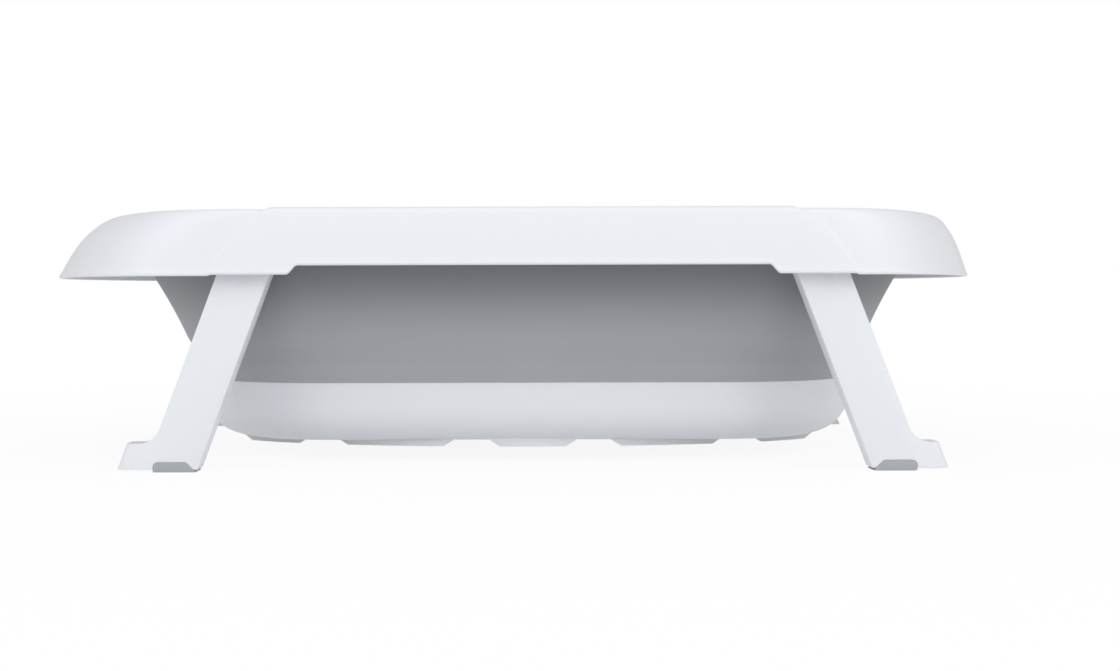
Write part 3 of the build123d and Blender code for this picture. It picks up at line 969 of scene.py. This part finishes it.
class BATH_OT_screws(bpy.types.Operator):
    """Build the bracket screws and the bosses they go into"""

    bl_idname = "bath.screws"
    bl_label = "Screws and bosses"

    def execute(self, context):
        repeats, sizes = context.scene.bath_repeats, context.scene.bath_sizes
        low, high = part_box("bracket_screws")
        sockets = {
            "Head radius": ("Float", repeats.head_radius),
            "Head height": ("Float", repeats.head_height),
            "Shank radius": ("Float", repeats.shank_radius),
            "Shank length": ("Float", high.z - low.z - repeats.head_height),
            "Recess width": ("Float", repeats.recess_width),
            "Material": ("Material", finishes()["steel"]),
        }
        graph, entry = node_tree("bracket screws", sockets)
        tall = entry["Head height"]
        head = cylinder(graph, entry["Head radius"], tall, tall * 0.5)
        bars = []
        for axis in range(2):
            size = [entry["Recess width"], entry["Recess width"], tall]
            size[axis] = entry["Head radius"] * RECESS_SHARE
            vector = graph.add("ShaderNodeCombineXYZ", None, size)
            bars.append(graph.add("GeometryNodeMeshCube", None, {"Size": vector}))
        head = cut_away(graph, head, bars)
        shank = cylinder(
            graph, entry["Shank radius"], entry["Shank length"], tall + entry["Shank length"] * 0.5
        )
        joined = graph.tree.nodes.new("GeometryNodeJoinGeometry")
        for part in (shank, head):
            graph.tree.links.new(part.socket, joined.inputs["Geometry"])
        placed = graph.add(
            "GeometryNodeInstanceOnPoints", None,
            {"Points": entry["Geometry"], "Instance": Value(graph, joined.outputs[0])},
        )
        mesh = run_tree(graph, points_mesh(screw_points(low.z)), sockets, placed)
        piece("bracket_screw_set", mesh, "rim_body", "steel", ["bracket_screws"])

        underside = RIM_HIGH.z - sizes.raised - sizes.rim_wall
        flange_top = underside - repeats.boss_drop
        sockets = {
            "Boss radius": ("Float", repeats.boss_radius),
            "Boss height": ("Float", underside + sizes.rim_wall / 2 - flange_top),
            "Hole radius": ("Float", repeats.shank_radius),
            "Material": ("Material", finishes()["white_plastic"]),
        }
        graph, entry = node_tree("screw bosses", sockets)
        tall = entry["Boss height"]
        boss = cylinder(graph, entry["Boss radius"], tall, tall * 0.5)
        hole = cylinder(graph, entry["Hole radius"], tall, tall * HOLE_SHARE)
        placed = graph.add(
            "GeometryNodeInstanceOnPoints", None,
            {"Points": entry["Geometry"], "Instance": cut_away(graph, boss, [hole])},
        )
        mesh = run_tree(graph, points_mesh(screw_points(flange_top)), sockets, placed)
        piece("screw_bosses", mesh, "rim_body", "white_plastic")
        return {"FINISHED"}


class BATH_OT_base(bpy.types.Operator):
    """Finish the base tray, the pads under it and the drain plug"""

    bl_idname = "bath.base"
    bl_label = "Base tray and plug"

    def execute(self, context):
        sizes = context.scene.bath_sizes
        dress("base_tray")
        rounded_copy("base_pads", sizes.pad_round)
        rounded_copy("drain_plug", sizes.pad_round)
        rounded_copy("plug_seal", sizes.metal_round)
        return {"FINISHED"}


class BATH_OT_legs(bpy.types.Operator):
    """Build the four folding legs and their foot pads with rounded edges"""

    bl_idname = "bath.legs"
    bl_label = "Legs"

    def execute(self, context):
        sizes = context.scene.bath_sizes
        for end in ENDS:
            for face in FACES:
                rounded_copy(f"{end}_{face}_leg", sizes.edge_round)
                rounded_copy(f"{end}_{face}_foot_pad", sizes.pad_round)
        return {"FINISHED"}


class BATH_OT_hinges(bpy.types.Operator):
    """Build the brackets, pins and clips of the four hinges"""

    bl_idname = "bath.hinges"
    bl_label = "Hinges"

    def execute(self, context):
        sizes = context.scene.bath_sizes
        for end in ENDS:
            for face in FACES:
                rounded_copy(f"{end}_{face}_hinge_bracket", sizes.metal_round)
                rounded_copy(f"{end}_{face}_hinge_pin", sizes.metal_round)
                rounded_copy(f"{end}_{face}_pin_clip", sizes.metal_round)
        return {"FINISHED"}


# ---------------------------------------------------------------- studio
# Each lamp's place and size, in metres. Its power is a studio setting.
LAMPS = {
    "top": ((0.0, -1.0, 2.4), 2.4),
    "front": ((0.0, -2.4, 1.4), 1.6),
    "foot": ((2.0, -1.6, 1.4), 1.6),
    "head": ((-2.0, -1.6, 1.4), 1.6),
}
FLOOR_RADIUS = 30.0
FLOOR_SIDES = 64
SENSOR_WIDTH = 36.0


def area_light(name, place, size, power):
    """A soft square lamp that looks at the bath."""
    lamp = bpy.data.lights.new(name, "AREA")
    lamp.shape = "SQUARE"
    lamp.size = size
    lamp.energy = power
    made = bpy.data.objects.new(name, lamp)
    made.location = place
    target = Vector((0, 0, RIM_HIGH.z / 2))
    made.rotation_euler = (target - Vector(place)).to_track_quat("-Z", "Y").to_euler()
    bpy.context.scene.collection.objects.link(made)


class BATH_OT_studio(bpy.types.Operator):
    """Set up the floor, the even light, the lamps and the camera"""

    bl_idname = "bath.studio"
    bl_label = "Studio"

    def execute(self, context):
        scene, studio = context.scene, context.scene.bath_studio
        scene.view_settings.view_transform = "Standard"

        floor_material = bpy.data.materials.new("studio_floor")
        floor_material.use_nodes = True
        graph = Graph(floor_material.node_tree)
        tone = opaque(scene.bath_colours.floor)
        matte = graph.add("ShaderNodeBsdfDiffuse", None, {"Color": tone})
        bright = graph.add("ShaderNodeEmission", None, {"Color": (1, 1, 1, 1), "Strength": 1.0})
        rays = graph.tree.nodes.new("ShaderNodeLightPath")
        seen = Value(graph, rays.outputs["Is Camera Ray"]) + Value(
            graph, rays.outputs["Is Glossy Ray"]
        )
        place = graph.add("ShaderNodeTexCoord", output="Object")
        away = graph.add("ShaderNodeVectorMath", {"operation": "LENGTH"}, [place], "Value")
        near = (away / studio.shadow_reach).bell() * studio.shadow_share
        blend = graph.add(
            "ShaderNodeMixShader", None, {0: seen * (1 - near), 1: matte, 2: bright}
        )
        graph.add("ShaderNodeOutputMaterial", None, {"Surface": blend})

        work = bmesh.new()
        bmesh.ops.create_circle(
            work, cap_ends=True, segments=FLOOR_SIDES, radius=FLOOR_RADIUS
        )
        mesh = bpy.data.meshes.new("studio_floor")
        work.to_mesh(mesh)
        work.free()
        mesh.materials.append(floor_material)
        floor = bpy.data.objects.new("studio_floor", mesh)
        scene.collection.objects.link(floor)

        world = bpy.data.worlds.new("studio")
        world.use_nodes = True
        scene.world = world
        graph = Graph(world.node_tree)
        even = graph.add(
            "ShaderNodeBackground", None, {"Color": (1, 1, 1, 1), "Strength": studio.world}
        )
        white = graph.add("ShaderNodeBackground", None, {"Color": (1, 1, 1, 1), "Strength": 1.0})
        rays = graph.tree.nodes.new("ShaderNodeLightPath")
        seen = Value(graph, rays.outputs["Is Camera Ray"])
        blend = graph.add("ShaderNodeMixShader", None, {0: seen, 1: even, 2: white})
        graph.add("ShaderNodeOutputWorld", None, {"Surface": blend})

        for name, (place, size) in LAMPS.items():
            area_light(f"{name}_light", place, size, getattr(studio, name))

        lens = bpy.data.cameras.new("camera")
        lens.lens = studio.lens
        lens.sensor_width = SENSOR_WIDTH
        lens.shift_x = studio.shift_x
        lens.shift_y = studio.shift_y
        camera = bpy.data.objects.new("camera", lens)
        camera.location = (0, -studio.distance, studio.height)
        camera.rotation_euler = (math.pi / 2, studio.roll, 0)
        scene.collection.objects.link(camera)
        scene.camera = camera
        return {"FINISHED"}


OPERATORS = (
    BATH_OT_rim,
    BATH_OT_soft_wall,
    BATH_OT_ribs,
    BATH_OT_screws,
    BATH_OT_base,
    BATH_OT_legs,
    BATH_OT_hinges,
    BATH_OT_studio,
)


class BATH_PT_sidebar(bpy.types.Panel):
    """List the sizes, the colours and the steps in the 3D view's sidebar"""

    bl_idname = "BATH_PT_sidebar"
    bl_label = "Baby bath"
    bl_space_type = "VIEW_3D"
    bl_region_type = "UI"
    bl_category = "Bath"

    def draw(self, context):
        for group_name, group in GROUPS.items():
            box = self.layout.box()
            for name in group.__annotations__:
                box.prop(getattr(context.scene, group_name), name)
        for operator in OPERATORS:
            self.layout.operator(operator.bl_idname)


CLASSES = (*GROUPS.values(), *OPERATORS, BATH_PT_sidebar)


def register():
    for item in CLASSES:
        bpy.utils.register_class(item)
    for name, group in GROUPS.items():
        setattr(bpy.types.Scene, name, PointerProperty(type=group))


def unregister():
    for name in GROUPS:
        delattr(bpy.types.Scene, name)
    for item in reversed(CLASSES):
        bpy.utils.unregister_class(item)


def main():
    """Build every piece and the studio."""
    register()
    for operator in OPERATORS:
        group, name = operator.bl_idname.split(".")
        getattr(getattr(bpy.ops, group), name)()


if __name__ == "__main__":
    main()
